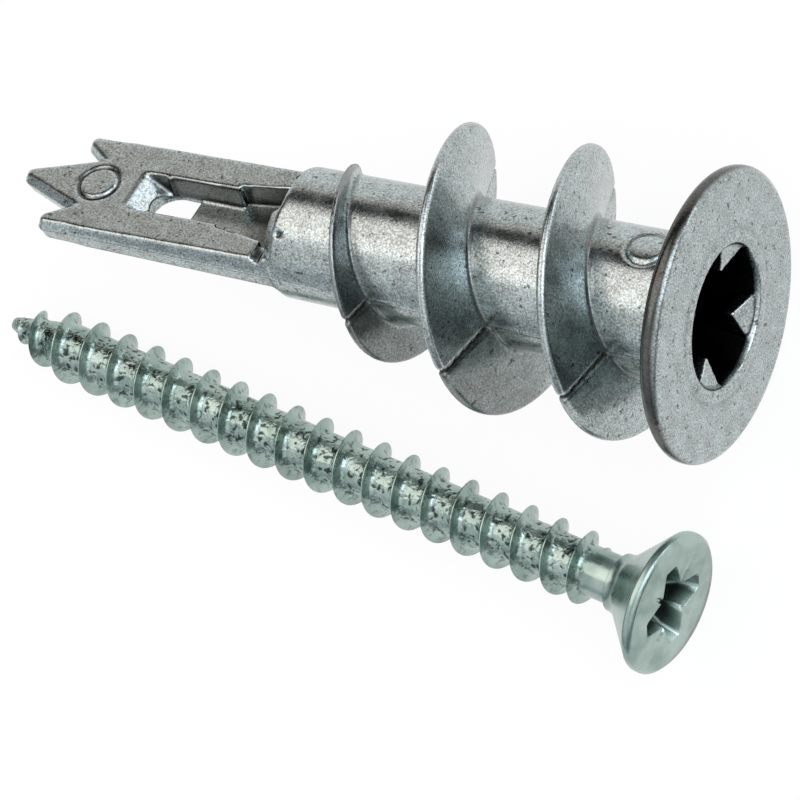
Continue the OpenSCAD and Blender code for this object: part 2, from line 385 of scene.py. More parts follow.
@dataclass(frozen=True)
class ZincPlatedSteel:
    """Rolled steel with bright zinc plating and a thin blue-green passivation film."""

    # to the eye: smooth and pale green on head and flanks, dented with dark pits on the rolled core; the pit
    # colour also paints shade in the cross recess
    dark: str = "#879b94"
    light: str = "#aabcb5"
    pit: str = "#3c4743"
    film_mm: float = 1.4
    # the plating's own grain is finer than a pixel, so it is drawn coarser to show
    grain_mm: float = 0.14
    grain_depth_mm: float = 0.008
    dent_mm: float = 0.3
    dent_depth_mm: float = 0.08
    smoothest: float = 0.2
    roughest: float = 0.32

    def material(self) -> bpy.types.Material:
        """Builds the plated metal.

        Returns:
            The material, which reads the attributes rolled and recess; the second paints shade in the cross
            recess.
        """
        material = bpy.data.materials.new("bright zinc-plated steel")
        tree = empty_tree(material)
        where = add_node(tree, "ShaderNodeTexCoord").outputs["Object"]
        film, grain, dent = (
            add_node(tree, "ShaderNodeTexNoise",
                     {"Scale": 1 / (size * MM), "Detail": detail, "Distortion": 0.3},
                     {"Vector": where}).outputs["Fac"]
            for size, detail in ((self.film_mm, 3.0), (self.grain_mm, 2.0), (self.dent_mm, 1.5)))
        rolled, recess = (add_node(tree, "ShaderNodeAttribute", {"attribute_name": name}).outputs["Fac"]
                          for name in ("rolled", "recess"))
        colour = add_node(tree, "ShaderNodeValToRGB", {"stops": {0.35: self.dark, 0.65: self.light}},
                          {"Fac": film}).outputs["Color"]
        low = add_node(tree, "ShaderNodeMapRange", {"From Min": 0.45, "From Max": 0.36},
                       {"Value": dent}).outputs[0]
        pitted = add_node(tree, "ShaderNodeMath", {"operation": "MULTIPLY"}, {0: low, 1: rolled}).outputs[0]
        # dark pits on the rolled core, and painted shade in the cross recess
        pits_and_recess_shade = add_node(tree, "ShaderNodeMath", {"operation": "MAXIMUM"}, {0: pitted, 1: recess}).outputs[0]
        base = add_node(tree, "ShaderNodeMix", {"data_type": "RGBA", 7: linear(self.pit)},
                        {0: pits_and_recess_shade, 6: colour}).outputs[2]
        rough = add_node(tree, "ShaderNodeMapRange", {"From Min": 0.3, "From Max": 0.7,
                                                      "To Min": self.smoothest, "To Max": self.roughest},
                         {"Value": film}).outputs[0]
        depth = add_node(tree, "ShaderNodeMapRange", {"To Min": 0.05}, {"Value": rolled}).outputs[0]
        hammered = add_node(tree, "ShaderNodeMath", {"operation": "MULTIPLY"}, {0: dent, 1: depth}).outputs[0]
        fine = add_node(tree, "ShaderNodeBump", {"Strength": 0.5, "Distance": self.grain_depth_mm * MM},
                        {"Height": grain}).outputs["Normal"]
        dents = add_node(tree, "ShaderNodeBump", {"Strength": 0.9, "Distance": self.dent_depth_mm * MM},
                         {"Height": hammered, "Normal": fine}).outputs["Normal"]
        shader = add_node(tree, "ShaderNodeBsdfPrincipled", {"Metallic": 1.0},
                          {"Base Color": base, "Roughness": rough, "Normal": dents})
        add_node(tree, "ShaderNodeOutputMaterial", links={"Surface": shader.outputs["BSDF"]})
        return material


@dataclass
class AnchorCasting:
    """The one-piece cast anchor: flange, barrel, helical flights, driver mouth and bladed point."""

    # flange: radius, thickness before and behind the wall's plane, rounding of the rim, fillet to the barrel
    flange_r: float = 7.1
    flange_t: float = 0.8
    flange_back: float = 0.2
    flange_round: float = 0.44
    flange_fillet: float = 0.8
    # barrel: radius at both ends, length, and how its end is cut back, chamfered and set askew
    barrel_r: float = 3.5
    barrel_end_r: float = 3.25
    barrel_l: float = 23.8
    barrel_nose: float = 1.6
    nose_l: float = 0.65
    nose_r: float = 2.75
    nose_lean: float = 0.1
    # barrel: rounding of the chamfer's edge and of the end
    nose_round: float = 0.12
    end_round: float = 0.15
    # flights: radii, growth per half turn from the point end, fade per half turn at the flange end
    flight_r: float = 6.8
    flight_in_r: float = 2.85
    flight_start_r: float = 3.4
    flight_growth: float = 1.6
    flight_fade: float = 11.0
    # flights: advance per turn, share of it in the first half turn, and place of the last crest
    flight_pitch: float = 6.4
    lead_pitch: float = 5.75
    front_share: float = 0.6
    flight_end_x: float = -2.1
    half_turns: int = 6
    run_out: float = 0.31
    # flights: rounding where growth and fade meet the full radius
    growth_round: float = 0.5
    fade_round: float = 0.3
    # flights: share of the crest's thickness at the start, its gain per half turn, and the least share
    crest_start: float = 0.3
    crest_gain: float = 0.35
    crest_least: float = 0.4
    # flights: thickness of the crest, draft of both faces in degrees, offset where half turns meet, fillets
    flight_crest_t: float = 0.44
    flight_draft: float = 12.0
    back_draft: float = 7.0
    root_step: float = 0.05
    flight_fillet: float = 0.24
    # parting plane: height and width of the flash, depth and width of the groove across the flights
    flash: float = 0.05
    flash_w: float = 0.1
    seam: float = 0.11
    seam_w: float = 0.12
    # blade: length, half width, thickness, drafts of rails and points, thinning towards the point
    blade_l: float = 14.3
    blade_half: float = 3.16
    blade_t: float = 1.9
    side_draft: float = 0.12
    edge_draft: float = 0.2
    front_thinning: float = 0.5
    back_thinning: float = 0.2
    # blade: where its faces begin to thin, reach of the points' draft, rounding of the faces' edges, fillet
    thin_from: float = 1.0
    draft_reach: float = 1.2
    face_round: float = 0.14
    blade_fillet: float = 0.15
    # blade: reach into the barrel, rounding of the points, places of the outer points and the notches
    blade_root: float = 1.9
    point_r: float = 0.46
    prong_back: float = 2.3
    notch_back: float = 3.75
    notch_y: float = 1.65
    # groove between the rails' faces and the barrel: reach into the barrel and radius
    groove_in: float = 0.75
    groove_r: float = 0.3
    # window: width, distance from the point, height of its shelf, and lengths from its start
    window_w: float = 2.4
    window_back: float = 6.45
    shelf_z: float = -0.55
    ramp_l: float = 1.45
    hole_back: float = 0.8
    shelf_back: float = 3.0
    # window: rounding of the ramp, the slot and the rim, inset of the hole, overlap of shelf and ramp
    ramp_round: float = 0.05
    slot_fillet: float = 0.28
    window_round: float = 0.12
    hole_inset: float = 0.05
    shelf_lap: float = 0.02
    # flare from the window to the bore: reach into the barrel, length, radius at both ends
    flare_in: float = 1.8
    flare_l: float = 4.2
    flare_r: float = 1.57
    flare_end_r: float = 2.2
    # ring marks of the ejector pins on blade and barrel: place, radius, depth of the groove, and its width;
    # the blade's is raised a little inside its ring, and the barrel's lies only on its own side
    boss_back: float = 4.4
    boss_r: float = 1.05
    boss_groove: float = 0.12
    boss_h: float = 0.06
    boss_inset: float = 0.1
    pad: tuple[float, float, float] = (-2.75, 0.35, 3.5)
    pad_r: float = 1.05
    pad_groove: float = 0.13
    pad_reach: float = 1.5
    ring_w: float = 0.11
    # small pit on the barrel's end: place, radius and rounding
    pit: tuple[float, float, float] = (-21.69, -2.38, 2.3)
    pit_r: float = 0.22
    pit_round: float = 0.06
    # bore and driver mouth: radii, where the bore starts and ends, and where the taper ends
    bore_r: float = 1.5
    bore_in: float = 1.6
    bore_deep: float = 4.4
    recess_r: float = 2.75
    recess_deep: float = 3.4
    mouth_r: float = 3.5
    # driver mouth: how far its taper runs on before the face, and how much it widens there
    mouth_out: float = 0.5
    mouth_flare: float = 0.11
    # driver ribs: gap between opposite tips, width at the wall, length, drop of the top and its fall inwards
    rib_gap: float = 4.0
    rib_base: float = 2.6
    rib_l: float = 5.4
    rib_drop: float = 0.18
    rib_fall: float = 0.45
    # driver ribs: how far behind the wall their flanks are spread to, and how far they are sunk in it
    rib_root: float = 0.1
    rib_sink: float = 0.2
    # amounts of painted shade and painted dark reflection at: parting line, flights below it, first flight,
    # rim, window's wall, corner
    shade_seam: float = 0.95
    shade_under: float = 0.55
    shade_first: float = 0.5
    shade_rim: float = 0.85
    shade_wall: float = 0.75
    shade_corner: float = 0.7
    # usual rounding of an edge and of a fine one, turn of the casting in degrees, spacing of the field's grid
    edge_round: float = 0.1
    fine_round: float = 0.08
    roll: float = 45.0
    step: float = 0.12

    @property
    def tip_x(self) -> float:
        """Place of the middle point along the axis."""
        return -self.barrel_l - self.blade_l

    def advance(self, n: int) -> float:
        """Advance of half turn n of the flights."""
        pitch = self.lead_pitch if n < 2 else self.flight_pitch
        return pitch * (self.front_share if n % 2 == 0 else 1 - self.front_share)

    def crest_x(self, n: int) -> float:
        """Finds the crest's middle.

        Args:
            n: number of the half turn, from 0 at the point end.

        Returns:
            The place along the axis at the start of that half turn.
        """
        if n > self.half_turns:
            return self.flight_end_x + sum(self.advance(i) for i in range(self.half_turns, n))
        return self.flight_end_x - sum(self.advance(i) for i in range(n, self.half_turns))

    def flange(self, x: np.ndarray, rho: np.ndarray) -> np.ndarray:
        """Measures to the flange, a disc with a rounded rim.

        Args:
            x: places along the axis.
            rho: distances from the axis.

        Returns:
            The distance at every place.
        """
        half = (self.flange_t + self.flange_back) / 2
        qx = np.abs(x - self.flange_t + half) - half + self.flange_round
        qr = rho - self.flange_r + self.flange_round
        outside = np.hypot(np.maximum(qx, 0), np.maximum(qr, 0))
        return outside + np.minimum(np.maximum(qx, qr), 0) - self.flange_round

    def barrel(self, x: np.ndarray, z: np.ndarray, rho: np.ndarray) -> np.ndarray:
        """Measures to the tapered barrel with its chamfered end and the flash along the parting plane.

        Args:
            x: places along the axis.
            z: heights over the parting plane.
            rho: distances from the axis.

        Returns:
            The distance at every place.
        """
        run = self.barrel_l - self.barrel_nose
        side = rho - self.barrel_r - x * ((self.barrel_r - self.barrel_end_r) / run)
        slope = (self.barrel_end_r - self.nose_r) / self.nose_l
        past = x + run + self.nose_l - self.nose_lean * np.maximum(z, 0)
        nose = (rho - self.nose_r - past * slope) / math.hypot(1, slope)
        body = smooth_max(side - self.flash * ridge(z, self.flash_w), nose, self.nose_round)
        body = smooth_max(body, -past, self.end_round)
        return smooth_max(body, x - self.flange_t / 2, self.edge_round)

    def flights(self, x: np.ndarray, y: np.ndarray, z: np.ndarray, rho: np.ndarray) -> np.ndarray:
        """Measures to the helical flights, made in half turns that meet at the parting plane.

        Args:
            x: places along the axis.
            y: places across it in the parting plane.
            z: heights over the parting plane.
            rho: distances from the axis.

        Returns:
            The distance at every place.
        """
        turn = np.mod(np.arctan2(z, y), 2 * math.pi) / math.pi
        second = turn >= 1
        part = turn - second
        front_slope, back_slope = (math.tan(math.radians(a)) for a in (self.flight_draft, self.back_draft))
        best = np.full(np.broadcast(x, rho).shape, FAR, np.float32)
        full = np.full_like(turn, self.flight_r)
        for first in range(-2, self.half_turns + 1, 2):
            adv = np.where(second, self.advance(first + 1), self.advance(first))
            middle = np.where(second, self.crest_x(first + 1), self.crest_x(first)) + adv * part
            growth = self.flight_start_r + self.flight_growth * (first + turn)
            crest = smooth_min(growth, full, self.growth_round)
            fade = self.flight_start_r + self.flight_fade * (self.half_turns + self.run_out - first - turn)
            crest = smooth_min(crest, fade, self.fade_round)
            rise = np.maximum(crest - rho, 0)
            offset = self.root_step * np.cos(math.pi * part)
            middle = middle + offset * rise / (self.flight_r - self.flight_in_r)
            lean = 1 / np.sqrt(1 + (adv / (math.pi * np.maximum(rho, 1))) ** 2)
            share = np.clip(self.crest_start + self.crest_gain * (first + turn), self.crest_least, 1)
            half = self.flight_crest_t / 2 * share
            gap = x - middle
            side = np.where(gap > 0, gap - half - rise * front_slope, -gap - half - rise * back_slope) * lean
            best = np.minimum(best, smooth_max(side, rho - crest, self.flight_fillet))
        best = best + self.seam * ridge(z, self.seam_w)
        return np.maximum(best, x - self.flange_t / 2)

    def blade_outline(self) -> list[tuple[float, float]]:
        """Draws the W-shaped point, shrunk by the radius of its rounded corners.

        Returns:
            The outline's corners in order.
        """
        r = self.point_r
        tip = np.array([self.tip_x + r, 0.0])
        prong = np.array([self.tip_x + self.prong_back + r, self.blade_half - r])
        notch = np.array([self.tip_x + self.notch_back, self.notch_y])
        a = (notch - tip) / np.linalg.norm(notch - tip)
        b = (prong - notch) / np.linalg.norm(prong - notch)
        inward = np.array([[a[1], -a[0]], [b[1], -b[0]]])
        inner = notch + np.linalg.solve(inward, [r, r])
        upper = [tuple(inner), tuple(prong), (-self.barrel_l + self.blade_root, prong[1])]
        return [tuple(tip), *upper, *((px, -py) for px, py in reversed(upper))]

    def face_z(self, x: float | np.ndarray, thinning: float) -> float | np.ndarray:
        """Height of a blade face over the parting plane, which drops towards the point."""
        root = -self.barrel_l + self.thin_from
        return self.blade_t / 2 - thinning * (root - x) / (root - self.tip_x)

    def blade(self, x: np.ndarray, y: np.ndarray, z: np.ndarray) -> np.ndarray:
        """Measures to the blade, whose edges slope out to the flash on the parting plane.

        Args:
            x: places along the axis.
            y: places across it in the parting plane.
            z: heights over the parting plane.

        Returns:
            The distance at every place.
        """
        front = self.face_z(x, self.front_thinning)
        half = np.where(z > 0, front, self.face_z(x, self.back_thinning))
        point = np.clip(self.tip_x + self.notch_back + self.draft_reach - x, 0, 1)
        draft = self.side_draft + (self.edge_draft - self.side_draft) * point
        outline = polygon_distance(x, y, self.blade_outline()) - self.point_r
        side = outline + draft * np.abs(z) / half - self.flash * ridge(z, self.flash_w)
        blade = smooth_max(side, np.abs(z) - half, self.face_round)
        boss = np.hypot(x - self.tip_x - self.boss_back, y) - self.boss_r
        blade = blade + self.boss_groove * ridge(boss, self.ring_w) * (z > 0)
        raised = np.abs(z - front / 2) - front / 2 - self.boss_h
        boss = smooth_max(boss + self.boss_inset, raised, self.fine_round)
        groove = np.hypot(x + self.barrel_l - self.groove_in, z - front) - self.groove_r
        return smooth_max(np.minimum(blade, boss), -groove, self.fine_round)

    def window(self, x: np.ndarray, y: np.ndarray, z: np.ndarray, rho: np.ndarray) -> np.ndarray:
        """Measures to the cut between the rails: ramp, round-ended hole, shelf and flare.

        Args:
            x: places along the axis.
            y: places across it in the parting plane.
            z: heights over the parting plane.
            rho: distances from the axis.

        Returns:
            The distance at every place, negative in the cut.
        """
        start = self.tip_x + self.window_back
        half = self.window_w / 2
        ramp_top = self.face_z(start, self.front_thinning)
        slope = (ramp_top - self.shelf_z) / self.ramp_l
        ramp_x = start + self.ramp_l
        hole, shelf = start + self.hole_back + half, start + self.shelf_back
        flare_end, flare_l = -self.barrel_l + self.flare_in, self.flare_l
        over = (ramp_top - (x - start) * slope - z) / math.hypot(1, slope)
        ramp = smooth_max(over, x - ramp_x, self.ramp_round)
        length = np.abs(x - (ramp_x + flare_end) / 2) - (flare_end - ramp_x) / 2 - self.shelf_lap
        above = smooth_max(self.shelf_z - z, length, self.edge_round)
        slot = smooth_max(np.minimum(ramp, above), np.abs(y) - half, self.slot_fillet)
        rounded = np.where(x < hole, np.hypot(x - hole, y), np.abs(y)) - half + self.hole_inset
        slot = np.minimum(slot, smooth_max(rounded, x - shelf, self.edge_round) + 0 * z)
        radius = self.flare_r + (x - flare_end + flare_l) * (self.flare_end_r - self.flare_r) / flare_l
        reach = np.abs(x - flare_end + flare_l / 2) - flare_l / 2
        flare = smooth_max((rho - radius) * CONE_SHARE, reach, self.edge_round)
        return np.minimum(slot, smooth_max(flare, self.shelf_z - z, self.edge_round))

    def mouth(self, x: np.ndarray, rho: np.ndarray) -> np.ndarray:
        """Measures to the tapered driver recess and the bore.

        Args:
            x: places along the axis.
            rho: distances from the axis.

        Returns:
            The distance at every place, negative in the opening.
        """
        face = self.flange_t
        places = [face - self.bore_deep, face - self.recess_deep, face, face + self.mouth_out]
        radii = [self.bore_r, self.recess_r, self.mouth_r, self.mouth_r + self.mouth_flare]
        radius = np.interp(x, places, radii).astype(np.float32)
        return np.maximum((rho - radius) * CONE_SHARE, -self.barrel_l + self.bore_in - x)

    def ribs(self, x: np.ndarray, y: np.ndarray, z: np.ndarray, rho: np.ndarray) -> np.ndarray:
        """Measures to the four pointed driver ribs in the mouth.

        Args:
            x: places along the axis.
            y: places across it in the parting plane.
            z: heights over the parting plane.
            rho: distances from the axis.

        Returns:
            The distance at every place.
        """
        quarter = math.pi / 2
        angle = np.mod(np.arctan2(z, y), quarter) - quarter / 2
        out, across = rho * np.cos(angle), np.abs(rho * np.sin(angle))
        tip = self.rib_gap / 2
        spread = self.rib_base / 2 / (self.mouth_r + self.rib_root - tip)
        side = (across - (out - tip) * spread) / math.hypot(1, spread)
        slope = self.rib_fall / (self.mouth_r - tip)
        top = (x - self.flange_t + self.rib_drop + (self.mouth_r - out) * slope) / math.hypot(1, slope)
        rib = smooth_max(side, top, self.edge_round)
        rib = np.maximum(rib, self.flange_t - self.rib_l - x)
        return np.maximum(rib, self.mouth(x, rho) - self.rib_sink)

    def field(self, x: np.ndarray, y: np.ndarray, z: np.ndarray) -> np.ndarray:
        """Measures to the whole casting.

        Args:
            x: places along the axis.
            y: places across it in the parting plane.
            z: heights over the parting plane.

        Returns:
            The distance at every place.
        """
        rho = np.sqrt(y * y + z * z)
        body = smooth_min(self.barrel(x, z, rho), self.flange(x, rho), self.flange_fillet)
        body = smooth_min(body, self.flights(x, y, z, rho), self.flight_fillet)
        body = smooth_min(body, self.blade(x, y, z), self.blade_fillet)
        pad_x, pad_y, pad_z = self.pad
        ring = np.hypot(x - pad_x, y - pad_y) - self.pad_r
        body = body + self.pad_groove * ridge(ring, self.ring_w) * (z > pad_z - self.pad_reach)
        body = smooth_max(body, -self.mouth(x, rho), self.edge_round)
        body = smooth_max(body, -self.window(x, y, z, rho), self.window_round)
        pit_x, pit_y, pit_z = self.pit
        pit = np.sqrt((x - pit_x) ** 2 + (y - pit_y) ** 2 + (z - pit_z) ** 2) - self.pit_r
        body = smooth_max(body, -pit, self.pit_round)
        return smooth_min(body, self.ribs(x, y, z, rho), self.edge_round)

    def soot(self, points: np.ndarray) -> np.ndarray:
        """Finds where shade is painted in the mouth and the bore.

        Args:
            points: vertices of the casting.

        Returns:
            How much painted shade each one gets: 1 deep in the openings, 0 elsewhere.
        """
        x, rho = points[:, 0], np.hypot(points[:, 1], points[:, 2])
        wall = self.mouth(x, rho)
        # the painted shade starts just behind the face on the wall and deeper on the ribs, and fades out
        # where the bore ends
        start = np.where(wall < -0.12, -0.1, self.flange_t - 0.1)
        end = np.clip((x + self.barrel_l - 1.9) / 0.4, 0, 1)
        return np.clip((start - x) / 0.2, 0, 1) * (wall < 0.1) * end

    def stain(self, points: np.ndarray, normals: np.ndarray) -> np.ndarray:
        """Finds where shade and dark reflections are painted: flights under the parting plane, first flight,
        rim and window.

        Args:
            points: vertices of the casting.
            normals: unit normals there.

        Returns:
            How much painted shade or dark reflection each vertex gets, from 0 to 1.
        """
        x, y, z = points.T
        rho = np.hypot(y, z)
        flight = (rho > self.barrel_r + 0.1) & (x < -0.9) & (x > -self.barrel_l + 1.6)
        # below the parting plane the painted shade grows towards the point, on the side that lies nearer the
        # screw
        below = self.shade_under * np.clip(-x / 8 - 0.4, 0, 1) * (z < 0)
        under = np.where(np.abs(z) < 0.1, self.shade_seam, below)
        shaded_flights = flight * np.maximum(np.clip(-y / 2, 0, 1) * under, self.shade_first * (x < self.crest_x(2)))
        rim = self.shade_rim * (rho > self.flange_r - 0.5) * np.clip((0.7 - x) / 0.2, 0, 1) * (x > -0.4)
        on_face = (z > 0.3) & (normals[:, 2] > 0.7)
        cut = (np.abs(self.window(x, y, z, rho)) < 0.2) & ~on_face
        wall = self.shade_wall * (normals[:, 1] < -0.6) * (z > self.shelf_z)
        corner = np.clip((x + self.barrel_l + 2.0) / 1.8, 0, self.shade_corner)
        return np.maximum(np.maximum(shaded_flights, rim), np.where(cut, np.maximum(wall, corner), 0))

    def build(self) -> bpy.types.Object:
        """Makes the casting's mesh from its distance field.

        Returns:
            The object in the part's frame.
        """
        low = np.array([self.tip_x - 0.6, -self.flange_r - 0.3, -self.flange_r - 0.3])
        high = np.array([self.flange_t + 0.3, self.flange_r + 0.3, self.flange_r + 0.3])
        counts = np.ceil((high - low) / self.step).astype(int) + 1
        x, y, z = (low[i] + self.step * np.arange(counts[i], dtype=np.float32) for i in range(3))
        # the field is worked out in slabs of about 40 layers to save memory
        slabs = np.array_split(x, max(1, counts[0] // 40))
        values = np.concatenate([self.field(s[:, None, None], y[None, :, None], z[None, None, :])
                                 .astype(np.float32) for s in slabs]) / self.step
        points, quads, normals = skin(values, low, self.step)
        turn = np.array(Matrix.Rotation(math.radians(-self.roll), 3, "X"))
        obj = mesh_object("cast_anchor", points @ turn.T, quads.tolist())
        obj.data.normals_split_custom_set_from_vertices((normals @ turn.T).tolist())
        # edge gives worn edges where the skin bends out and painted shade where it bends in; the other two
        # paint shade
        looks = {"edge": bend(values, (points - low) / self.step, 2.5), "soot": self.soot(points),
                 "stain": self.stain(points, normals)}
        for name, amount in looks.items():
            attribute = obj.data.attributes.new(name, "FLOAT", "POINT")
            attribute.data.foreach_set("value", amount.astype(np.float32))
        return obj

    def dress(self, obj: bpy.types.Object) -> None:
        """Gives the casting its finish, ties it to its body and hides the imported part it stands in for.

        Args:
            obj: the casting.
        """
        obj.data.materials.append(DieCastZinc().material())
        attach(obj, Body.ANCHOR.value)
        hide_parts("anchor_casting")


@dataclass
class CountersunkScrew:
    """The plated wood screw: rolled thread from the point to a short neck, countersunk cross-recess head."""

    length: float = 40.4
    # head: radius, height of its rim and the rim's chamfer
    head_r: float = 3.6
    head_land: float = 0.5
    head_chamfer: float = 0.18
    # neck: radius, length, blend into the head, and plain core before it
    neck_r: float = 1.475
    neck_l: float = 0.12
    neck_blend_r: float = 1.05
    core_l: float = 1.1
    # step from core to neck: length, and how far its middle lies inside the neck
    neck_step: float = 0.16
    neck_round: float = 0.05
    # thread: radii of core and crest, pitch, distance of its start from the point, direction there in degrees
    core_r: float = 1.225
    crest_r: float = 1.8
    pitch: float = 1.768
    thread_start: float = 0.45
    thread_turn: float = -221.0
    # thread: height at its start, rise per millimetre from there, and how quickly a cut-off turn gains height
    thread_low: float = 0.05
    thread_rise: float = 0.35
    run_out: float = 1.6
    # marks of the rolls: least amount, fade up the flanks, and length of the fade at the neck
    mark_least: float = 0.3
    mark_fade: float = 1.6
    mark_end: float = 0.6
    # point: length over which the core narrows, and radius of its blunt end
    point_l: float = 3.6
    point_r: float = 0.32
    # place of the head's face on the table, and turn of the axis in degrees
    head_x: float = -1.13
    head_y: float = -14.27
    yaw: float = -9.03
    # cross recess: reach of its arms, half widths of an arm's end and root, depth, turn, depth of the ticks
    drive_r: float = 2.15
    drive_tip: float = 0.42
    drive_core: float = 0.8
    drive_depth: float = 2.2
    drive_turn: float = 35.0
    tick_depth: float = 0.16
    # amount of painted shade in the cross recess
    recess_shade: float = 0.88
    # points round the axis, and sharpest edge in degrees that is still shaded smooth
    columns: int = 96
    smooth_edge: float = 50.0

    def core_at(self, x: float) -> float:
        """Radius of the core, which narrows to the point."""
        share = (x + self.length) / self.point_l
        return min(self.core_r, self.point_r + (self.core_r - self.point_r) * share)

    def neck_outline(self) -> list[Level]:
        """Draws the outline from the end of the thread over the neck and head to the face's rim.

        Returns:
            Place along the axis and radius of each corner.
        """
        blend_x = -self.head_land - (self.head_r - self.neck_r) - self.neck_blend_r * math.tan(math.pi / 8)
        start = blend_x - self.neck_l
        outline = [(start - self.core_l, self.core_r), (start, self.core_r),
                   (start + self.neck_step / 2, self.neck_r - self.neck_round),
                   (start + self.neck_step, self.neck_r)]
        for a in np.linspace(0, math.pi / 4, 9):
            outline.append((blend_x + self.neck_blend_r * math.sin(a),
                            self.neck_r + self.neck_blend_r * (1 - math.cos(a))))
        land, rim, r = self.head_land, self.head_chamfer, self.head_r
        outline += [(-land - 0.08, r - 0.08), (-land - 0.02, r - 0.015), (-land + 0.06, r), (-rim - 0.06, r),
                    (-rim + 0.02, r - 0.03), (-0.05, r - rim + 0.02), (0.0, r - rim - 0.06)]
        return outline

    def thread(self, end: float) -> tuple[list[tuple[float, float, float]], list[list[int]], list[float]]:
        """Winds the thread from the point to the neck, with plain rings at both ends.

        Args:
            end: place where the thread stops.

        Returns:
            Points, faces and how strongly the rolls have marked each point.
        """
        start = -self.length + self.thread_start - 0.15
        k = self.columns
        total = round((end - start) / self.pitch * k) + k
        pitch = (end - start) / ((total - k) / k)
        begin = self.thread_turn + 360 * ((start - pitch / 2) + self.length - self.thread_start) / self.pitch
        # share of the pitch and share of the thread's height, from one groove up to the crest and down again
        flank = [(0.0, 0.0), (0.2, 0.0), (0.28, 0.03), (0.34, 0.12), (0.4, 0.34), (0.45, 0.72), (0.485, 1.0)]
        profile = flank + [(1 - share, height) for share, height in reversed(flank)]
        points, marks = [], []
        for c in range(total + 1):
            angle = math.radians(begin) + 2 * math.pi * c / k
            low = start + pitch * max(0, c - k) / k
            high = min(end, start + pitch * c / k)
            for share, height in profile:
                x = low + (high - low) * share
                lift = min(self.crest_r - self.core_r, (x - start) * self.thread_rise + self.thread_low)
                r = self.core_at(x) + height * lift * min(1, (high - low) / pitch * self.run_out)
                points.append((x, r * math.cos(angle), r * math.sin(angle)))
                mark = max(self.mark_least, 1 - height * self.mark_fade)
                marks.append(mark * min(1.0, max(0.0, (end - x) / self.mark_end)))
        n = len(profile)
        faces = [[c * n + j, c * n + j + 1, (c + 1) * n + j + 1, (c + 1) * n + j]
                 for c in range(total) for j in range(n - 1)]
        return points, faces, marks

    def cross(self, angles: np.ndarray, reach: float, tip: float, core: float) -> np.ndarray:
        """Radius of the cross recess's outline.

        Args:
            angles: directions about the axis in radians.
            reach: distance of the arms' ends from the axis.
            tip: half the width of an arm's end.
            core: half the width of an arm's root.

        Returns:
            The radius in every direction.
        """
        quarter = math.pi / 2
        off = np.abs(np.mod(angles - math.radians(self.drive_turn) + quarter / 2, quarter) - quarter / 2)
        edge_x, edge_y = core - reach, core - tip
        flank = (reach * edge_y - tip * edge_x) / (np.cos(off) * edge_y - np.sin(off) * edge_x)
        return np.minimum(reach / np.cos(off), flank)

    def face_levels(self, angles: np.ndarray) -> list[Level]:
        """Lays rings from the flat face with its four ticks down into the cross recess.

        Args:
            angles: directions about the axis in radians.

        Returns:
            Place along the axis and radius of each ring.
        """
        reach, tip, core, depth = self.drive_r, self.drive_tip, self.drive_core, self.drive_depth
        quarter = math.pi / 2
        between = np.abs(np.mod(angles - math.radians(self.drive_turn), quarter) - quarter / 2)
        tick = self.tick_depth * np.clip(1.6 - between * self.columns / (2 * math.pi), 0, 1)
        rim = reach + 0.35
        edge = self.cross(angles, reach, tip, core)
        # from the rim over both ends of the ticks to the recess's edge, then down and inwards
        levels = [(0.0, rim), (0.0, edge + (rim - edge) * 0.55), (-tick, edge + (rim - edge) * 0.35),
                  (-tick, edge + 0.05), (-0.06 - tick, edge)]
        for down, shrink, slim in ((0.45, 0.88, 0.9), (0.75, 0.62, 0.72), (1.0, 0.28, 0.36)):
            levels.append((-depth * down, self.cross(angles, reach * shrink, tip * slim, core * slim)))
        return levels

    def capped(self, levels: list[Level], begin: float, end_x: float) -> tuple[list, list]:
        """Joins rings of points about the axis and closes the last one at a point on the axis.

        Args:
            levels: place along the axis and radius of each ring.
            begin: direction of the rings' first point in radians.
            end_x: place of the closing point.

        Returns:
            Points and faces.
        """
        k = self.columns
        angles = begin + 2 * math.pi * np.arange(k) / k
        points = [point for x, r in levels
                  for point in np.stack([x + 0 * angles, r * np.cos(angles), r * np.sin(angles)], 1).tolist()]
        faces = [[i * k + c, (i + 1) * k + c, (i + 1) * k + (c + 1) % k, i * k + (c + 1) % k]
                 for i in range(len(levels) - 1) for c in range(k)]
        ring, top = (len(levels) - 1) * k, len(points)
        points.append((end_x, 0.0, 0.0))
        return points, faces + [[ring + c, top, ring + (c + 1) % k] for c in range(k)]

    def build(self) -> bpy.types.Object:
        """Makes the screw's mesh: thread, point, neck, head and recess as one closed skin.

        Returns:
            The object in the part's frame.
        """
        outline = self.neck_outline()
        points, faces, marks = self.thread(outline[0][0])
        begin = math.atan2(points[0][2], points[0][1])
        end = math.atan2(points[-1][2], points[-1][1])
        angles = end + 2 * math.pi * np.arange(self.columns) / self.columns
        head = self.capped(outline + self.face_levels(angles), end, -self.drive_depth - 0.1)
        start = points[0][0]
        tip = self.capped([(start, self.core_at(start)), (-self.length + 0.08, self.point_r),
                           (-self.length + 0.015, self.point_r * 0.6)], begin, -self.length)
        shape = bmesh.new()
        rolled, recess = (shape.verts.layers.float.new(name) for name in ("rolled", "recess"))
        # the recess gets painted shade from the sixth ring after the outline on, which is its first below the
        # edge
        below = (len(outline) + 5) * self.columns
        deep = [0.0] * below + [self.recess_shade] * (len(head[0]) - below)
        parts = ((points, faces, rolled, marks), (*head, recess, deep), (*tip, rolled, []))
        for part_points, part_faces, layer, part_marks in parts:
            verts = [shape.verts.new(p) for p in part_points]
            for vert, mark in zip(verts, part_marks):
                vert[layer] = mark
            for f in part_faces:
                shape.faces.new([verts[i] for i in f])
        bmesh.ops.remove_doubles(shape, verts=shape.verts, dist=0.0005)
        bmesh.ops.dissolve_degenerate(shape, edges=shape.edges, dist=0.0004)
        bmesh.ops.recalc_face_normals(shape, faces=shape.faces)
        mesh = bpy.data.meshes.new("plated_screw")
        shape.to_mesh(mesh)
        shape.free()
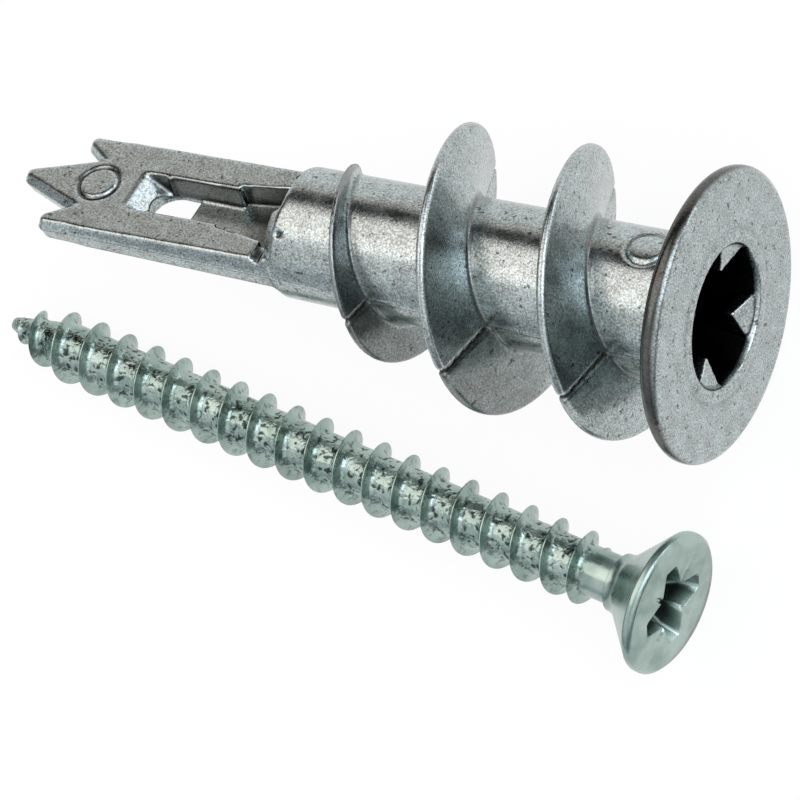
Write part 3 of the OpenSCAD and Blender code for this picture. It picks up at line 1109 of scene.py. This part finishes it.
        # the screw lies on its head's rim and its thread, so its axis leans down to the point
        lean = math.asin((self.head_r - self.crest_r) / (self.length - self.point_l))
        centre = Matrix.Translation((self.head_x, self.head_y, TABLE_Z + self.head_r * math.cos(lean)))
        turn = Matrix.Rotation(math.radians(self.yaw), 4, "Z") @ Matrix.Rotation(-lean, 4, "Y")
        mesh.transform(Matrix.Scale(MM, 4) @ centre @ turn)
        mesh.shade_smooth()
        mesh.set_sharp_from_angle(angle=math.radians(self.smooth_edge))
        obj = bpy.data.objects.new("plated_screw", mesh)
        bpy.context.scene.collection.objects.link(obj)
        return obj

    def dress(self, obj: bpy.types.Object) -> None:
        """Gives the screw its finish, ties it to its body and hides the imported part it stands in for.

        Args:
            obj: the screw.
        """
        obj.data.materials.append(ZincPlatedSteel().material())
        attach(obj, Body.SCREW.value)
        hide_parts("countersunk_screw")


@dataclass
class Studio:
    """White table, soft light and the camera above the pair."""

    table_size: float = 1600.0
    # share of the card that is plain white where it is looked at or mirrored; the rest keeps the shadow
    table_white: float = 0.92
    # colour of the bright cover over the front of the room, and its level
    cover: str = "#f8fbff"
    cover_level: float = 1.22
    # camera: focal length in pixels, direction and roll in degrees, distance from the place it looks at
    focal_px: float = 5620.63
    azimuth: float = 102.6455
    elevation: float = 61.5687
    camera_roll: float = -92.1826
    distance: float = 274.237
    target: tuple[float, float, float] = (-17.675, -7.5024, -4.1754)
    sensor: float = 36.0

    def table(self) -> None:
        """Lays the white table under the pair."""
        half = self.table_size / 2
        corners = [(x * half, y * half, TABLE_Z) for x, y in ((-1, -1), (1, -1), (1, 1), (-1, 1))]
        obj = mesh_object("table", np.array(corners), [[0, 1, 2, 3]])
        # white card gives the eye plain white with a soft shadow, and the metal mirrors the same white
        material = bpy.data.materials.new("white card")
        tree = empty_tree(material)
        path = add_node(tree, "ShaderNodeLightPath").outputs
        seen = path["Is Camera Ray"]
        for ray in ("Is Glossy Ray", "Is Transmission Ray"):
            seen = add_node(tree, "ShaderNodeMath", {"operation": "MAXIMUM"},
                            {0: seen, 1: path[ray]}).outputs[0]
        share = add_node(tree, "ShaderNodeMath", {"operation": "MULTIPLY", 1: self.table_white},
                         {0: seen}).outputs[0]
        card = add_node(tree, "ShaderNodeBsdfDiffuse", {"Color": linear("#ffffff")}).outputs["BSDF"]
        white = add_node(tree, "ShaderNodeEmission", {"Strength": 1.0}).outputs["Emission"]
        both = add_node(tree, "ShaderNodeMixShader", links={0: share, 1: card, 2: white}).outputs[0]
        add_node(tree, "ShaderNodeOutputMaterial", links={"Surface": both})
        obj.data.materials.append(material)

    def world(self) -> None:
        """Fills the room with soft light: a pale rim, a dark back wall, a cooler front and a bright cover."""
        world = bpy.data.worlds.new("studio")
        bpy.context.scene.world = world
        tree = empty_tree(world)
        way = add_node(tree, "ShaderNodeTexCoord").outputs["Generated"]
        axes = add_node(tree, "ShaderNodeSeparateXYZ", links={0: way}).outputs
        back_stops = {0.0: "#f0e6de", 0.13: "#eae0d8", 0.2: "#0c1414", 1.0: "#141a1a"}
        front_stops = {0.0: "#b4bac0", 0.3: "#c0c6cc", 0.45: "#eef4f8", 0.8: "#ffffff", 1.0: "#ffffff"}
        back, front = (
            add_node(tree, "ShaderNodeValToRGB", {"stops": stops}, {"Fac": axes["Z"]}).outputs["Color"]
            for stops in (back_stops, front_stops))
        # each share rises along an axis of the looked-at direction: the axis, two places, the lowest share
        rises = (("X", -0.35, -0.05, 0.0), ("Y", -0.25, 0.25, 0.0), ("X", -0.25, 0.2, 0.0),
                 ("Z", 0.3, 0.55, 0.0), ("Y", -1.1, -0.5, 0.0), ("X", -0.95, -0.75, 0.55))
        near, behind, ahead, high, open_front, open_end = (
            add_node(tree, "ShaderNodeMapRange", {"From Min": low, "From Max": top, "To Min": floor},
                     {"Value": axes[axis]}).outputs[0] for axis, low, top, floor in rises)
        front = add_node(tree, "ShaderNodeMix", {"data_type": "RGBA", 7: linear("#83898c")},
                         {0: near, 6: front}).outputs[2]
        room = add_node(tree, "ShaderNodeMix", {"data_type": "RGBA"},
                        {0: behind, 6: front, 7: back}).outputs[2]
        covered = ahead
        for share in (high, open_front):
            covered = add_node(tree, "ShaderNodeMath", {"operation": "MULTIPLY"},
                               {0: covered, 1: share}).outputs[0]
        bright = (*(self.cover_level * c for c in linear(self.cover)[:3]), 1.0)
        room = add_node(tree, "ShaderNodeMix", {"data_type": "RGBA", 7: bright},
                        {0: covered, 6: room}).outputs[2]
        lit = add_node(tree, "ShaderNodeBackground", links={"Color": room, "Strength": open_end}).outputs[0]
        add_node(tree, "ShaderNodeOutputWorld", links={"Surface": lit})

    def lamp(self, name: str, place: tuple[float, float, float], size: tuple[float, float], power: float,
             colour: str) -> None:
        """Hangs a soft box that faces the pair.

        Args:
            name: name of the lamp.
            place: its place in millimetres.
            size: its width and height in millimetres.
            power: its power in watts.
            colour: its sRGB colour.
        """
        light = bpy.data.lights.new(name, "AREA")
        light.shape, light.size, light.size_y = "RECTANGLE", size[0] * MM, size[1] * MM
        light.energy, light.color = power, linear(colour)[:3]
        obj = bpy.data.objects.new(name, light)
        obj.location = Vector(place) * MM
        away = Vector(place) - Vector(self.target)
        obj.rotation_euler = away.to_track_quat("Z", "Y").to_euler()
        bpy.context.scene.collection.objects.link(obj)

    def camera(self) -> None:
        """Sets the camera at the angle from which the pair is seen."""
        a, e, r = (math.radians(v) for v in (self.azimuth, self.elevation, self.camera_roll))
        back = Vector((math.sin(a) * math.cos(e), -math.cos(a) * math.cos(e), math.sin(e)))
        right = Vector((math.cos(a), math.sin(a), 0))
        up = back.cross(right)
        across = right * math.cos(r) + up * math.sin(r)
        above = up * math.cos(r) - right * math.sin(r)
        data = bpy.data.cameras.new("camera")
        data.sensor_fit, data.sensor_width = "HORIZONTAL", self.sensor
        data.lens = self.focal_px * self.sensor / IMAGE_PX
        data.clip_start, data.clip_end = 0.01, 20.0
        obj = bpy.data.objects.new("camera", data)
        obj.matrix_world = Matrix((across, above, back)).transposed().to_4x4()
        obj.matrix_world.translation = (Vector(self.target) + back * self.distance) * MM
        bpy.context.scene.collection.objects.link(obj)
        bpy.context.scene.camera = obj

    def build(self) -> None:
        """Sets up table, light and camera."""
        self.camera()
        self.table()
        self.world()
        self.lamp("soft box overhead", (-190, 123, 330), (342, 330), 0.64, "#fff5f0")
        self.lamp("soft box behind", (260, 170, 260), (320, 320), 0.68, "#ebf2ff")
        self.lamp("strip behind", (215, 335, 30), (200, 90), 0.13, "#e6f0ff")
        bpy.context.scene.view_settings.view_transform = "Standard"


def main() -> None:
    """Builds the pieces in order and logs each one."""
    logging.basicConfig(level=logging.INFO, format="%(name)s: %(message)s")
    for piece in (AnchorCasting(), CountersunkScrew()):
        obj = piece.build()
        piece.dress(obj)
        LOG.info("%s: %d vertices, %d faces", obj.name, len(obj.data.vertices), len(obj.data.polygons))
    Studio().build()
    LOG.info("studio is set")


if __name__ == "__main__":
    main()
